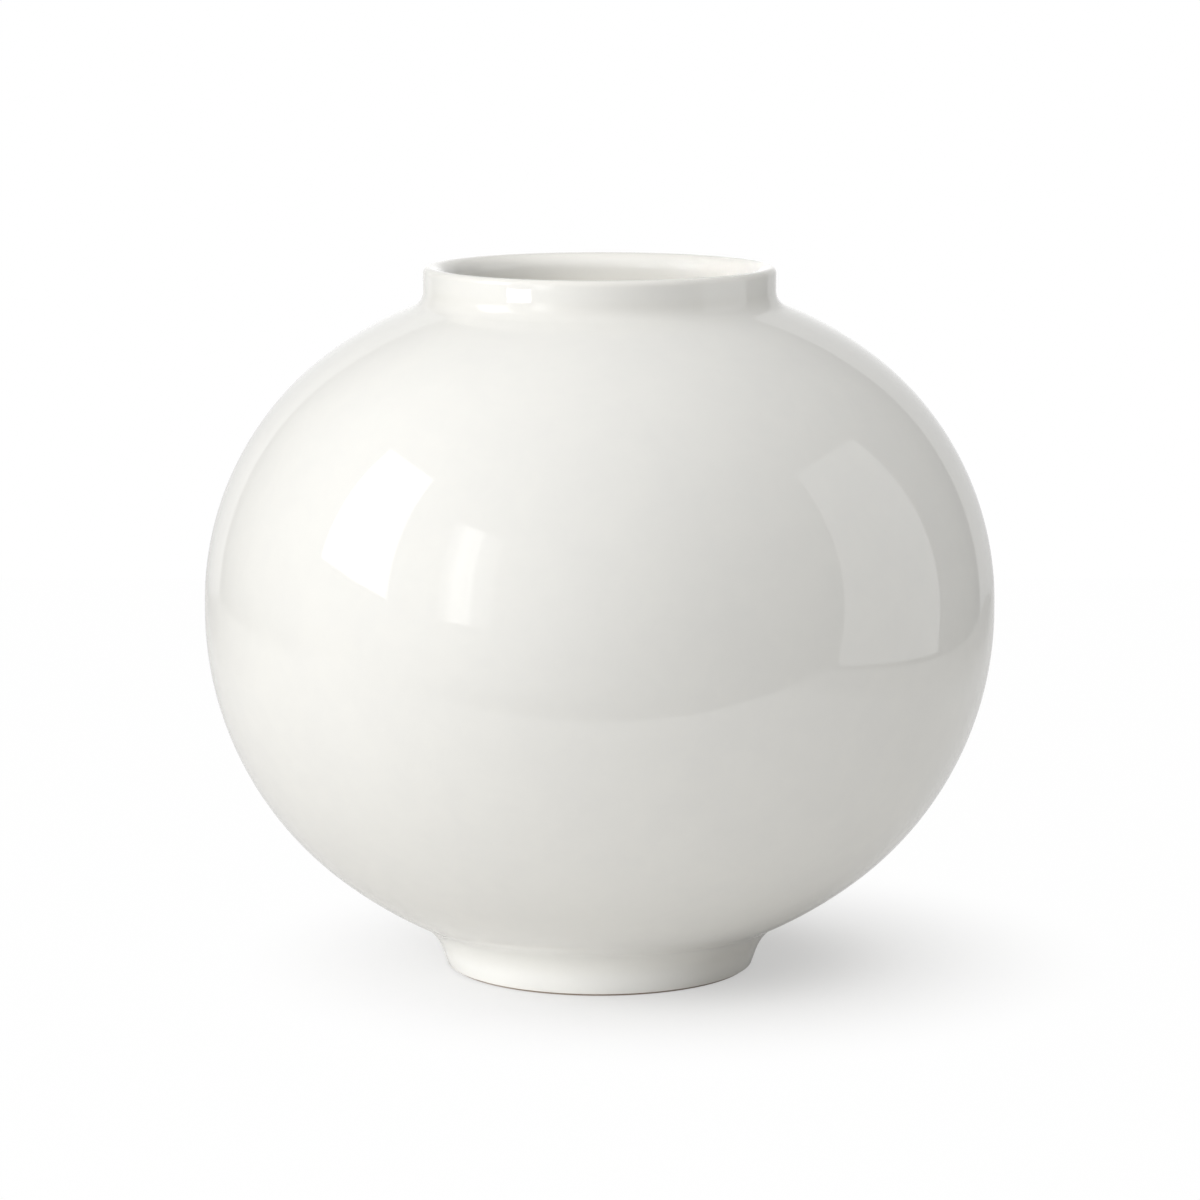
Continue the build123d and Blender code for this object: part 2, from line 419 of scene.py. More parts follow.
    def bead(self, coat: float) -> list[Run]:
        """Half section of the roll of slip inside the belly joint, eased into the wall, under a coat.

        Args:
            coat: Thickness of the coat on the clay's inner wall.

        Returns:
            The chain of stretches, upwards.
        """
        wall = self.belly_radius - self.bowl_inside - coat
        radius = self.bead_radius + coat
        centre = (wall + coat + self.bead_radius - self.bead_height, self.belly_height)
        sideways = centre[0] - wall + self.bead_fillet
        rise = math.sqrt((radius + self.bead_fillet) ** 2 - sideways**2)
        ease = math.atan2(rise, sideways)
        fillets = [(wall - self.bead_fillet, self.belly_height + side * rise) for side in (-1, 1)]
        return [
            Arc(fillets[0], self.bead_fillet, 0.0, ease),
            Arc(centre, radius, math.pi + ease, math.pi - ease),
            Arc(fillets[1], self.bead_fillet, -ease, 0.0),
        ]


@dataclass
class TurnedPiece:
    """A piece turned on the jar's axis: its half section is drawn in edit mode and spun a full turn."""

    name: str
    seen: list[Run]
    hidden: list[Run]
    step: float = 3.0 * MM
    hidden_step: float = 9.0 * MM
    segments: int = 192
    arc_step: float = math.radians(9.0)
    crease: float = math.radians(35.0)
    weld: float = 0.002 * MM

    def build(self) -> Object:
        """Models the piece.

        Returns:
            The finished object, at the origin, with its faces pointing outwards.
        """
        bpy.ops.object.select_all(action="DESELECT")
        bpy.ops.mesh.primitive_plane_add(size=self.step)
        piece = bpy.context.object
        piece.name = piece.data.name = self.name
        bpy.ops.object.mode_set(mode="EDIT")
        bpy.ops.mesh.merge(type="CENTER")
        start = here = self.seen[0].start
        bpy.ops.transform.translate(value=(start[0], 0.0, start[1]))
        for runs, step in ((self.seen, self.step), (self.hidden, self.hidden_step)):
            for run in runs:
                self.draw_line(Line(here, run.start), step)
                if isinstance(run, Arc):
                    self.draw_arc(run, step)
                else:
                    self.draw_line(run, step)
                here = run.end
        self.draw_line(Line(here, start), self.hidden_step)
        bpy.ops.mesh.select_all(action="SELECT")
        bpy.ops.mesh.remove_doubles(threshold=self.weld)
        bpy.ops.mesh.spin(steps=self.segments, angle=math.tau, center=(0.0, 0.0, 0.0), axis=(0.0, 0.0, 1.0))
        bpy.ops.mesh.select_all(action="SELECT")
        bpy.ops.mesh.remove_doubles(threshold=self.weld)
        bpy.ops.mesh.normals_make_consistent(inside=False)
        bpy.ops.object.mode_set(mode="OBJECT")
        bpy.ops.object.shade_smooth_by_angle(angle=self.crease)
        return piece

    def draw_line(self, run: Line, step: float) -> None:
        """Extrudes the end of the half section straight on, in steps.

        Args:
            run: The stretch to draw. One that has no length, or lies on the axis, is left out.
            step: Longest step.
        """
        on_axis = max(run.start[0], run.end[0]) < self.weld
        if run.length < self.weld or on_axis:
            return
        steps = math.ceil(run.length / step)
        part = ((run.end[0] - run.start[0]) / steps, 0.0, (run.end[1] - run.start[1]) / steps)
        for _ in range(steps):
            bpy.ops.mesh.extrude_region_move(TRANSFORM_OT_translate={"value": part})

    def draw_arc(self, run: Arc, step: float) -> None:
        """Spins the end of the half section about the arc's centre.

        Args:
            run: The stretch to draw.
            step: Longest step.
        """
        steps = max(math.ceil(run.length / step), math.ceil(abs(run.turn) / self.arc_step))
        centre = (run.centre[0], 0.0, run.centre[1])
        bpy.ops.mesh.spin(steps=steps, angle=run.turn, center=centre, axis=(0.0, 1.0, 0.0))


@dataclass
class Bench:
    """A node tree, and the short calls that fill it."""

    tree: NodeTree

    def add(self, kind: str, **settings: object) -> Node:
        """Adds a node.

        Args:
            kind: The node's type, without the leading ShaderNode.
            **settings: Properties of the node, by name.

        Returns:
            The new node.
        """
        node = self.tree.nodes.new("ShaderNode" + kind)
        for name, value in settings.items():
            setattr(node, name, value)
        return node

    def plug(self, socket: NodeSocket, value: object) -> None:
        """Links or sets one input.

        Args:
            socket: The input.
            value: A socket to link or a value to set.
        """
        if isinstance(value, NodeSocket):
            self.tree.links.new(value, socket)
        else:
            socket.default_value = value

    def feed(self, node: Node, **inputs: object) -> Node:
        """Links or sets inputs of a node.

        Args:
            node: The node to feed.
            **inputs: A socket to link or a value to set, by the input's name with _ for a space.

        Returns:
            The same node.
        """
        for name, value in inputs.items():
            self.plug(node.inputs[name.replace("_", " ")], value)
        return node

    def work_out(self, kind: str, operation: str, *values: object) -> Node:
        """Adds a node that works something out.

        Args:
            kind: Math or VectorMath.
            operation: The node's operation.
            *values: Its inputs, in order.

        Returns:
            The new node.
        """
        node = self.add(kind, operation=operation)
        for socket, value in zip(node.inputs, values):
            self.plug(socket, value)
        return node

    def math(self, operation: str, *values: object) -> NodeSocket:
        """The result of a sum of sockets or numbers."""
        return self.work_out("Math", operation, *values).outputs[0]

    def vector(self, operation: str, *values: object) -> bpy_prop_collection:
        """The Vector and the Value that come of a sum of vectors."""
        return self.work_out("VectorMath", operation, *values).outputs

    def split(self, vector: NodeSocket) -> bpy_prop_collection:
        """The X, Y and Z of a vector."""
        return self.feed(self.add("SeparateXYZ"), Vector=vector).outputs

    def noise(self, place: NodeSocket, scale: object, **inputs: float) -> NodeSocket:
        """Soft noise about one half, with so many lumps to the metre."""
        return self.feed(self.add("TexNoise"), Vector=place, Scale=scale, **inputs).outputs["Fac"]

    def between(self, value: NodeSocket, low: float, high: float) -> NodeSocket:
        """A 0 to 1 mask spread evenly over a range."""
        return self.feed(self.add("MapRange"), Value=value, To_Min=low, To_Max=high).outputs["Result"]

    def ease(
        self, value: NodeSocket, start: float, end: float, low: object = 0.0, high: object = 1.0
    ) -> NodeSocket:
        """A smooth step from one value to another.

        Args:
            value: What the step depends on.
            start: Where it starts.
            end: Where it ends.
            low: The value before it.
            high: The value after it.

        Returns:
            The eased value.
        """
        node = self.add("MapRange", interpolation_type="SMOOTHSTEP")
        self.feed(node, Value=value, From_Min=start, From_Max=end, To_Min=low, To_Max=high)
        return node.outputs["Result"]

    def tint(self, mask: NodeSocket, base: object, over: object) -> NodeSocket:
        """One colour laid over another where a mask says so.

        Args:
            mask: How much of the second colour shows.
            base: Socket or colour below.
            over: Socket or colour above.

        Returns:
            The mixed colour.
        """
        node = self.feed(self.add("Mix", data_type="RGBA"), Factor=mask)
        for number, value in ((MIX_BASE, base), (MIX_OVER, over)):
            is_socket = isinstance(value, NodeSocket)
            self.plug(node.inputs[number], value if is_socket else (*value, 1.0))
        return node.outputs[MIX_RESULT]

    def raise_up(self, *layers: tuple[NodeSocket, float]) -> NodeSocket:
        """The slope of a surface with reliefs laid over each other.

        Args:
            *layers: Each relief, 0 to 1, and how high 1 stands.

        Returns:
            The surface's normal.
        """
        below: dict[str, NodeSocket] = {}
        for relief, height in layers:
            bump = self.feed(self.add("Bump"), Height=relief, Distance=height, **below)
            below = {"Normal": bump.outputs[0]}
        return below["Normal"]


@dataclass
class EffectGroup(Bench):
    """The node group of a shared effect, which reads a place and gives one value."""

    entry: Node

    @property
    def place(self) -> NodeSocket:
        """Where the effect is asked for."""
        return self.entry.outputs["Place"]

    def number(self, name: str, usual: float) -> NodeSocket:
        """Gives the group a number to set.

        Args:
            name: The input's name.
            usual: Its usual value.

        Returns:
            The number.
        """
        socket = self.tree.interface.new_socket(name, in_out="INPUT", socket_type="NodeSocketFloat")
        socket.default_value = usual
        return self.entry.outputs[name]

    def lumps(self, usual: float) -> NodeSocket:
        """Gives the group a size to set, and tells how many lumps of it go to the metre."""
        return self.math("DIVIDE", 1.0, self.number("Size", usual))


@dataclass(frozen=True)
class Band:
    """A level band of the surface with a tone of its own, such as where it pools or runs thin; some bands
    also hold painted shade.
    """

    height: float
    reach: float
    colour: Colour
    amount: float


@dataclass
class EffectShop:
    """Builds each shared effect once, as a node group with named inputs and outputs."""

    cloud_edges: Point = (0.28, 0.72)
    ring_drift: float = 7.0
    ring_sway: float = 1.6
    cell_share: float = 0.4
    made: dict[Effect, NodeTree] = field(default_factory=dict)

    def place(self, bench: Bench, effect: Effect, **inputs: object) -> NodeSocket:
        """Places an effect in a material.

        Args:
            bench: The material's nodes.
            effect: Which effect.
            **inputs: The group's inputs, by name.

        Returns:
            The effect's output.
        """
        if effect not in self.made:
            self.made[effect] = self.build(effect)
        node = bench.add("Group", node_tree=self.made[effect])
        return bench.feed(node, **inputs).outputs[0]

    def lay_bands(
        self, bench: Bench, place: NodeSocket, colour: NodeSocket, bands: tuple[Band, ...]
    ) -> NodeSocket:
        """Lays level bands over a colour.

        Args:
            bench: The material's nodes.
            place: The object's own coordinates.
            colour: The colour below.
            bands: The bands, from the lowest layer up.

        Returns:
            The colour with the bands on it.
        """
        for band in bands:
            mask = self.place(bench, Effect.LEVEL, Place=place, Height=band.height, Reach=band.reach)
            colour = bench.tint(bench.math("MULTIPLY", mask, band.amount), colour, band.colour)
        return colour

    def build(self, effect: Effect) -> NodeTree:
        """Makes the node group of an effect.

        Args:
            effect: Which effect.

        Returns:
            The new group.
        """
        makers = {
            Effect.CLOUDS: self.clouds,
            Effect.RIPPLE: self.ripple,
            Effect.RINGS: self.rings,
            Effect.GRAIN: self.grain,
            Effect.LEVEL: self.level,
        }
        tree = bpy.data.node_groups.new(effect.value, "ShaderNodeTree")
        tree.interface.new_socket("Value", in_out="OUTPUT", socket_type="NodeSocketFloat")
        tree.interface.new_socket("Place", in_out="INPUT", socket_type="NodeSocketVector")
        group = EffectGroup(tree, tree.nodes.new("NodeGroupInput"))
        leave = tree.nodes.new("NodeGroupOutput")
        group.feed(leave, Value=makers[effect](group))
        return tree

    def clouds(self, group: EffectGroup) -> NodeSocket:
        """Soft drifting clouds, 0 to 1, of a size given in metres."""
        noise = group.noise(group.place, group.lumps(25 * MM), Detail=3.0, Roughness=0.55, Distortion=0.6)
        return group.ease(noise, *self.cloud_edges)

    def ripple(self, group: EffectGroup) -> NodeSocket:
        """Height, 0 to 1, of the long, shallow ripple that a melted coat sets with."""
        return group.noise(group.place, group.lumps(18 * MM), Detail=1.0, Roughness=0.4)

    def rings(self, group: EffectGroup) -> NodeSocket:
        """Height of the level rings that fingers or a tool leave on the wheel.

        Args:
            group: The nodes to fill.

        Returns:
            The height, 0 to 1.
        """
        drift = group.noise(group.place, self.ring_drift, Detail=1.0)
        sway = group.math("MULTIPLY", drift, self.ring_sway)
        level = group.math("DIVIDE", group.split(group.place)["Z"], group.number("Spacing", 9 * MM))
        wave = group.math("SINE", group.math("MULTIPLY", group.math("ADD", level, sway), math.tau))
        return group.math("MULTIPLY_ADD", wave, 0.5, 0.5)

    def grain(self, group: EffectGroup) -> NodeSocket:
        """Fine sugary grain of dry or biscuit clay.

        Args:
            group: The nodes to fill.

        Returns:
            The grain, 0 to 1 and a little over.
        """
        scale = group.lumps(0.7 * MM)
        noise = group.noise(group.place, scale, Detail=4.0)
        cells = group.feed(group.add("TexVoronoi"), Vector=group.place, Scale=scale)
        return group.math("MULTIPLY_ADD", cells.outputs["Distance"], self.cell_share, noise)

    def level(self, group: EffectGroup) -> NodeSocket:
        """A soft band about a level, full at its middle and gone at its reach.

        Args:
            group: The nodes to fill.

        Returns:
            The mask, 0 to 1.
        """
        above = group.math("SUBTRACT", group.split(group.place)["Z"], group.number("Height", 0.0))
        away = group.math("DIVIDE", group.math("ABSOLUTE", above), group.number("Reach", 10 * MM))
        fade = group.add("MapRange", interpolation_type="SMOOTHERSTEP")
        return group.feed(fade, Value=away, To_Min=1.0, To_Max=0.0).outputs["Result"]


@dataclass(frozen=True)
class GlazeFinish:
    """Clear, milky glaze over white porcelain."""

    name: str
    milky: Colour = (0.890, 0.882, 0.842)
    clear: Colour = (0.868, 0.861, 0.826)
    bands: tuple[Band, ...] = ()
    cloud_size: float = 34 * MM
    fine_cloud_size: float = 11 * MM
    fine_share: float = 0.35
    shine: tuple[float, float] = (0.035, 0.06)
    ripple_height: float = 0.008 * MM
    ring_height: float = 0.004 * MM
    index: float = 1.5

    def build(self, shop: EffectShop) -> Material:
        """Makes the material.

        Args:
            shop: The shared effects.

        Returns:
            The material.
        """
        material, bench, place, surface = new_material(self.name)
        clouds = shop.place(bench, Effect.CLOUDS, Place=place, Size=self.cloud_size)
        fine = shop.place(bench, Effect.CLOUDS, Place=place, Size=self.fine_cloud_size)
        broad = bench.math("MULTIPLY", clouds, 1.0 - self.fine_share)
        tone = bench.math("MULTIPLY_ADD", fine, self.fine_share, broad)
        colour = shop.lay_bands(bench, place, bench.tint(tone, self.milky, self.clear), self.bands)
        ripple = shop.place(bench, Effect.RIPPLE, Place=place)
        rings = shop.place(bench, Effect.RINGS, Place=place)
        slope = bench.raise_up((rings, self.ring_height), (ripple, self.ripple_height))
        shine = bench.between(fine, *self.shine)
        bench.feed(surface, Base_Color=colour, Roughness=shine, IOR=self.index, Normal=slope)
        return material


@dataclass(frozen=True)
class ClayFinish:
    """Fired porcelain with no glaze on it: dry, fine-grained and a little warm."""

    name: str
    pale: Colour = (0.78, 0.745, 0.685)
    warm: Colour = (0.66, 0.575, 0.475)
    bands: tuple[Band, ...] = ()
    cloud_size: float = 16 * MM
    grain_size: float = 0.7 * MM
    grain_share: float = 0.5
    even_share: float = 0.25
    grain_height: float = 0.05 * MM
    ring_spacing: float = 2.2 * MM
    ring_height: float = 0.06 * MM
    dryness: tuple[float, float] = (0.62, 0.84)

    def build(self, shop: EffectShop) -> Material:
        """Makes the material.

        Args:
            shop: The shared effects.

        Returns:
            The material.
        """
        material, bench, place, surface = new_material(self.name)
        clouds = shop.place(bench, Effect.CLOUDS, Place=place, Size=self.cloud_size)
        grain = shop.place(bench, Effect.GRAIN, Place=place, Size=self.grain_size)
        rings = shop.place(bench, Effect.RINGS, Place=place, Spacing=self.ring_spacing)
        speckle = bench.math("MULTIPLY_ADD", grain, self.grain_share, self.even_share)
        tone = bench.math("MULTIPLY", clouds, speckle)
        colour = shop.lay_bands(bench, place, bench.tint(tone, self.pale, self.warm), self.bands)
        slope = bench.raise_up((rings, self.ring_height), (grain, self.grain_height))
        bench.feed(surface, Base_Color=colour, Roughness=bench.between(grain, *self.dryness), Normal=slope)
        return material


def emptied(owner: Material | World) -> Bench:
    """Clears a material's or a world's nodes.

    Args:
        owner: The material or world.

    Returns:
        The empty node tree.
    """
    owner.use_nodes = True
    owner.node_tree.nodes.clear()
    return Bench(owner.node_tree)


def new_material(name: str) -> tuple[Material, Bench, NodeSocket, Node]:
    """An empty material with a shader that reads the object's own coordinates.

    Args:
        name: The material's name.

    Returns:
        The material, its nodes, the coordinates and the shader.
    """
    material = bpy.data.materials.new(name)
    bench = emptied(material)
    surface = bench.add("BsdfPrincipled")
    bench.feed(bench.add("OutputMaterial"), Surface=surface.outputs["BSDF"])
    place = bench.add("TexCoord").outputs["Object"]
    return material, bench, place, surface


def dress(piece: Object, material: Material) -> None:
    """Gives a whole piece one material.

    Args:
        piece: The piece, new or from the CAD.
        material: Its material.
    """
    if not piece.material_slots:
        piece.data.materials.append(material)
    for slot in piece.material_slots:
        slot.material = material


def stand_in(piece: Object, node: str) -> None:
    """Ties a finished piece to the frame in place of a CAD node.

    Args:
        piece: The finished piece.
        node: The CAD node that it stands for.
    """
    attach(piece, BODY)
    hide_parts(node)
    log.info("%s stands for %s: %d faces", piece.name, node, len(piece.data.polygons))


@dataclass
class GlazeCoats:
    """The glaze outside, inside and in the foot well, each a closed skin on the clay."""

    form: JarForm
    shop: EffectShop
    # darker, warmer glaze where it pools, also painted warm shade in the creases at the neck root and the
    # foot root
    pooled_glaze_and_shade: Colour = (0.846, 0.834, 0.788)
    thin: Colour = (0.898, 0.882, 0.832)

    def build(self) -> None:
        """Models and dresses the three coats."""
        form = self.form
        neck_root, foot_root = form.neck_root_height + 4 * MM, form.foot_root_height - 4 * MM
        finish = GlazeFinish(
            "white glaze",
            bands=(
                # bands at the neck root and foot root: pooled glaze and painted shade in the creases
                Band(neck_root, reach=9 * MM, colour=self.pooled_glaze_and_shade, amount=0.5),
                Band(foot_root, reach=11 * MM, colour=self.pooled_glaze_and_shade, amount=0.6),
                Band(form.jar_height, reach=5 * MM, colour=self.thin, amount=0.8),
                Band(form.glaze_line, reach=3 * MM, colour=self.thin, amount=0.7),
            ),
        )
        glaze = finish.build(self.shop)
        for turned, node in (
            (self.outer(), "outer_glaze"),
            (self.inner(), "inner_glaze"),
            (self.well(), "foot_well_glaze"),
        ):
            piece = turned.build()
            dress(piece, glaze)
            stand_in(piece, node)

    def outer(self) -> TurnedPiece:
        """The outer coat, with its rolled edge at the foot.

        Returns:
            The piece, ready to turn.
        """
        form, roll = self.form, self.form.glaze / 2
        edge = form.glaze_line + roll
        rolled = Arc(form.foot_wall(roll, edge), roll, math.pi - form.foot_flare, math.tau - form.foot_flare)
        seen = form.outside(0.0, rolled.end[1])
        hidden = form.outside(form.glaze, rolled.start[1])
        return TurnedPiece("outer_glaze_coat", [rolled, *seen], backwards(hidden))

    def inner(self) -> TurnedPiece:
        """The inner coat, from the middle of the floor to the lip and back along the clay.

        Returns:
            The piece, ready to turn.
        """
        seen, hidden = self.form.inside(self.form.glaze), self.form.inside(0.0)
        return TurnedPiece("inner_glaze_coat", seen, backwards(hidden))

    def well(self) -> TurnedPiece:
        """The coat in the foot well, with its rolled edge.

        Returns:
            The piece, ready to turn.
        """
        form, roll = self.form, self.form.glaze / 2
        wall, ceiling = form.well_radius - form.glaze, form.well_ceiling - form.glaze
        corner = (wall - form.foot_well_round, ceiling - form.foot_well_round)
        edge = form.glaze_line + roll
        seen = [
            Line((0.0, ceiling), (corner[0], ceiling)),
            Arc(corner, form.foot_well_round, math.pi / 2, 0.0),
            Line((wall, corner[1]), (wall, edge)),
            Arc((wall + roll, edge), roll, math.pi, math.tau),
        ]
        hidden = [
            Line((form.well_radius, edge), (form.well_radius, form.well_ceiling)),
            Line((form.well_radius, form.well_ceiling), (0.0, form.well_ceiling)),
        ]
        return TurnedPiece("foot_well_glaze_coat", seen, hidden)


@dataclass
class BareFoot:
    """The foot ring, whose unglazed face the jar stands on, with a dark band at its chamfer that is partly
    flashed clay and partly painted contact shade.
    """

    form: JarForm
    shop: EffectShop
    grooves: int = 3
    groove_width: float = 1.1 * MM
    groove_depth: float = 0.12 * MM
    # dark brown of the flashed bare clay edge, made darker still as painted contact shade where the foot
    # meets the ground
    flashing_and_contact_shade: Colour = (0.34, 0.25, 0.185)

    def build(self) -> None:
        """Models and dresses the foot ring."""
        # band at the chamfer: partly the real flashed clay edge, partly painted contact shade
        burnt_edge_and_contact_shade = Band(self.form.foot_chamfer, reach=1.6 * MM, colour=self.flashing_and_contact_shade, amount=0.9)
        finish = ClayFinish("bare foot clay", bands=(burnt_edge_and_contact_shade,))
        piece = self.ring().build()
        dress(piece, finish.build(self.shop))
        stand_in(piece, "foot_ring")

    def ring(self) -> TurnedPiece:
        """The ring, with the grooves that the turning tool left in its standing face.

        Returns:
            The piece, ready to turn.
        """
        form, chamfer = self.form, self.form.foot_chamfer
        outer = form.foot_wall(form.glaze, 0.0)[0] - chamfer
        inner = form.well_radius + chamfer
        radius = (self.groove_width**2 / 4 + self.groove_depth**2) / (2 * self.groove_depth)
        half = math.asin(self.groove_width / 2 / radius)
        cut: list[Run] = []
        for number in range(1, self.grooves + 1):
            middle = inner + (outer - inner) * number / (self.grooves + 1)
            centre = (middle, self.groove_depth - radius)
            cut.append(Arc(centre, radius, math.pi / 2 + half, math.pi / 2 - half))
        low, high = (form.foot_wall(form.glaze, height) for height in (chamfer, form.foot_ring_height))
        well_top = (form.well_radius, form.foot_ring_height)
        seen = [Line((form.well_radius, chamfer), (inner, 0.0)), *cut, Line((outer, 0.0), low)]
        return TurnedPiece("bare_foot_ring", seen, [Line(low, high), Line(high, well_top)], step=1.0 * MM)


@dataclass
class ClayBody:
    """The clay and slip under the glaze, which keep their CAD shapes."""

    shop: EffectShop
    clay_nodes: tuple[str, ...] = ("lower_bowl", "upper_bowl", "neck_collar")
    slip_nodes: tuple[str, ...] = ("foot_slip", "belly_slip", "neck_slip")

    def dress(self) -> None:
        """Gives the CAD nodes under the glaze their clay and slip."""
        clay = ClayFinish("thrown porcelain", warm=(0.70, 0.64, 0.56), ring_spacing=9 * MM).build(self.shop)
        slip = ClayFinish(
            "luting slip", pale=(0.80, 0.78, 0.73), warm=(0.72, 0.68, 0.61), grain_size=0.4 * MM
        ).build(self.shop)
        for nodes, material in ((self.clay_nodes, clay), (self.slip_nodes, slip)):
            for node in nodes:
                dress(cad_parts[node], material)
                log.info("%s keeps its CAD shape, in %s", node, material.name)


@dataclass(frozen=True)
class Panel:
    """A flat studio panel that glows, given by its corners as the jar mirrors them."""

    name: str
    top_left: Place
    top_right: Place
    bottom_left: Place
    bottom_right: Place
    glow: float
    across: tuple[Point, ...] = ((0.0, 1.0),)

    def build(self) -> tuple[Object, Material]:
        """Hangs the panel and makes its light.

        Returns:
            The panel and the material that makes it glow.
        """
        bpy.ops.object.select_all(action="DESELECT")
        bpy.ops.mesh.primitive_plane_add(size=1.0)
        thing = bpy.context.object
        corners = (self.bottom_left, self.bottom_right, self.top_left, self.top_right)
        for vertex, corner in zip(thing.data.vertices, corners):
            vertex.co = corner
        material, bench, light = new_light(self.name)
        if len(self.across) == 1:
            light.inputs["Strength"].default_value = self.glow
        else:
            across = bench.split(bench.add("TexCoord").outputs["UV"])["X"]
            profile = bench.feed(bench.add("ValToRGB"), Fac=across)
            stops = profile.color_ramp.elements
            for stop, (place, level) in zip(list(stops), (self.across[0], self.across[-1])):
                stop.position = place
                stop.color = (level, level, level, 1.0)
            for place, level in self.across[1:-1]:
                stops.new(place).color = (level, level, level, 1.0)
            bench.feed(light, Strength=bench.math("MULTIPLY", profile.outputs["Color"], self.glow))
        return thing, material


@dataclass(frozen=True)
class GriddedLamp:
    """A lamp behind a grid, whose narrow beam reaches only what it is aimed at."""

    name: str
    place: Place
    aim: Place
    power: float
    colour: Colour = (1.0, 1.0, 1.0)
    size: Point = (0.08, 0.03)
    spread: float = math.radians(4.0)
    mirrored: bool = False

    def build(self) -> None:
        """Hangs the lamp, out of the camera's sight."""
        bpy.ops.object.light_add(type="AREA", location=self.place)
        lamp = bpy.context.object
        lamp.name = lamp.data.name = self.name
        lamp.rotation_euler = (Vector(self.aim) - Vector(self.place)).to_track_quat("-Z", "Y").to_euler()
        lamp.data.shape = "RECTANGLE"
        lamp.data.size, lamp.data.size_y = self.size
        lamp.data.spread = self.spread
        lamp.data.energy = self.power
        lamp.data.color = self.colour
        lamp.visible_camera = False
        lamp.visible_glossy = self.mirrored


@dataclass(frozen=True)
class LampBank:
    """A low bank of gridded lamps side by side, all aimed at the neck, so that the belly mirrors none."""

    aim: Place = (-0.044, -0.089, 0.391)
    distance: float = 1.25
    height: float = 0.277
    right_turn: float = math.radians(44.5)
    left_turn: float = math.radians(62.5)
    lamps: int = 5
    lamp_height: float = 0.075
    spread: float = math.radians(10.5)
    power: float = 0.0006

    def build(self) -> None:
        """Hangs the lamps in an arc about the neck."""
        step = (self.left_turn - self.right_turn) / self.lamps
        width = 2 * self.distance * math.tan(step / 2)
        for number in range(self.lamps):
            turn = self.right_turn + (number + 0.5) * step
            x = self.aim[0] - self.distance * math.sin(turn)
            y = self.aim[1] - self.distance * math.cos(turn)
            lamp = GriddedLamp(
                f"neck lamp {number + 1}",
                place=(x, y, self.height),
                aim=self.aim,
                power=self.power,
                size=(width, self.lamp_height),
                spread=self.spread,
                mirrored=True,
            )
            lamp.build()


@dataclass(frozen=True)
class Wash:
    """Soft light from one side of the room, strongest along its axis."""

    axis: Place
    glow: float
    tightness: float = 3.0


KEY_LIGHT = Panel(
    "key light",
    top_left=(-1.005, -0.032, 1.222),
    top_right=(-0.918, -0.493, 1.228),
    bottom_left=(-1.360, -0.145, 0.550),
    bottom_right=(-1.318, -0.792, 0.416),
    glow=3.75,
)
KEY_LIGHT_EDGE = Panel(
    "edge of the key light",
    top_left=(-1.181, -0.723, 0.396),
    top_right=(-1.172, -0.740, 0.398),
    bottom_left=(-1.191, -0.727, 0.190),
    bottom_right=(-1.182, -0.743, 0.196),
    glow=1.8,
)
STRIP_LIGHT = Panel(
    "strip light",
    top_left=(-0.920, -0.912, 1.095),
    top_right=(-0.642, -1.180, 1.003),
    bottom_left=(-1.069, -1.136, 0.308),
    bottom_right=(-0.756, -1.403, 0.285),
    glow=3.7,
    across=(
        (0.0, 0.535),
        (0.12, 0.56),
        (0.28, 1.0),
        (0.42, 1.0),
        (0.46, 0.90),
        (0.52, 1.0),
        (0.57, 1.0),
        (0.64, 0.585),
        (1.0, 0.475),
    ),
)
COOL_LAMP: Colour = (0.91, 0.94, 1.0)
WARM_LAMP: Colour = (1.0, 0.975, 0.93)
FOOT_LAMP = GriddedLamp(
    "foot lamp",
    place=(-0.52, -0.50, 0.012),
    aim=(0.0, 0.0, 0.012),
    power=0.0202,
    colour=COOL_LAMP,
    size=(0.36, 0.02),
    spread=math.radians(8.0),
)
FRONT_MOUTH_LAMP = GriddedLamp(
    "front mouth lamp",
    place=(-0.30, -1.05, 1.00),
    aim=(0.0, 0.087, 0.366),
    power=0.005,
    colour=WARM_LAMP,
)
LEFT_MOUTH_LAMP = GriddedLamp(
    "left mouth lamp",
    place=(-0.80, -0.62, 1.00),
    aim=(0.078, 0.036, 0.362),
    power=0.0135,
    colour=WARM_LAMP,
)
BOARD = Panel(
    "reflector board",
    top_left=(1.143, -0.327, 1.295),
    top_right=(1.143, 0.376, 1.147),
    bottom_left=(1.143, -0.513, 0.0),
    bottom_right=(1.143, 0.306, 0.0),
    glow=1.05,
)


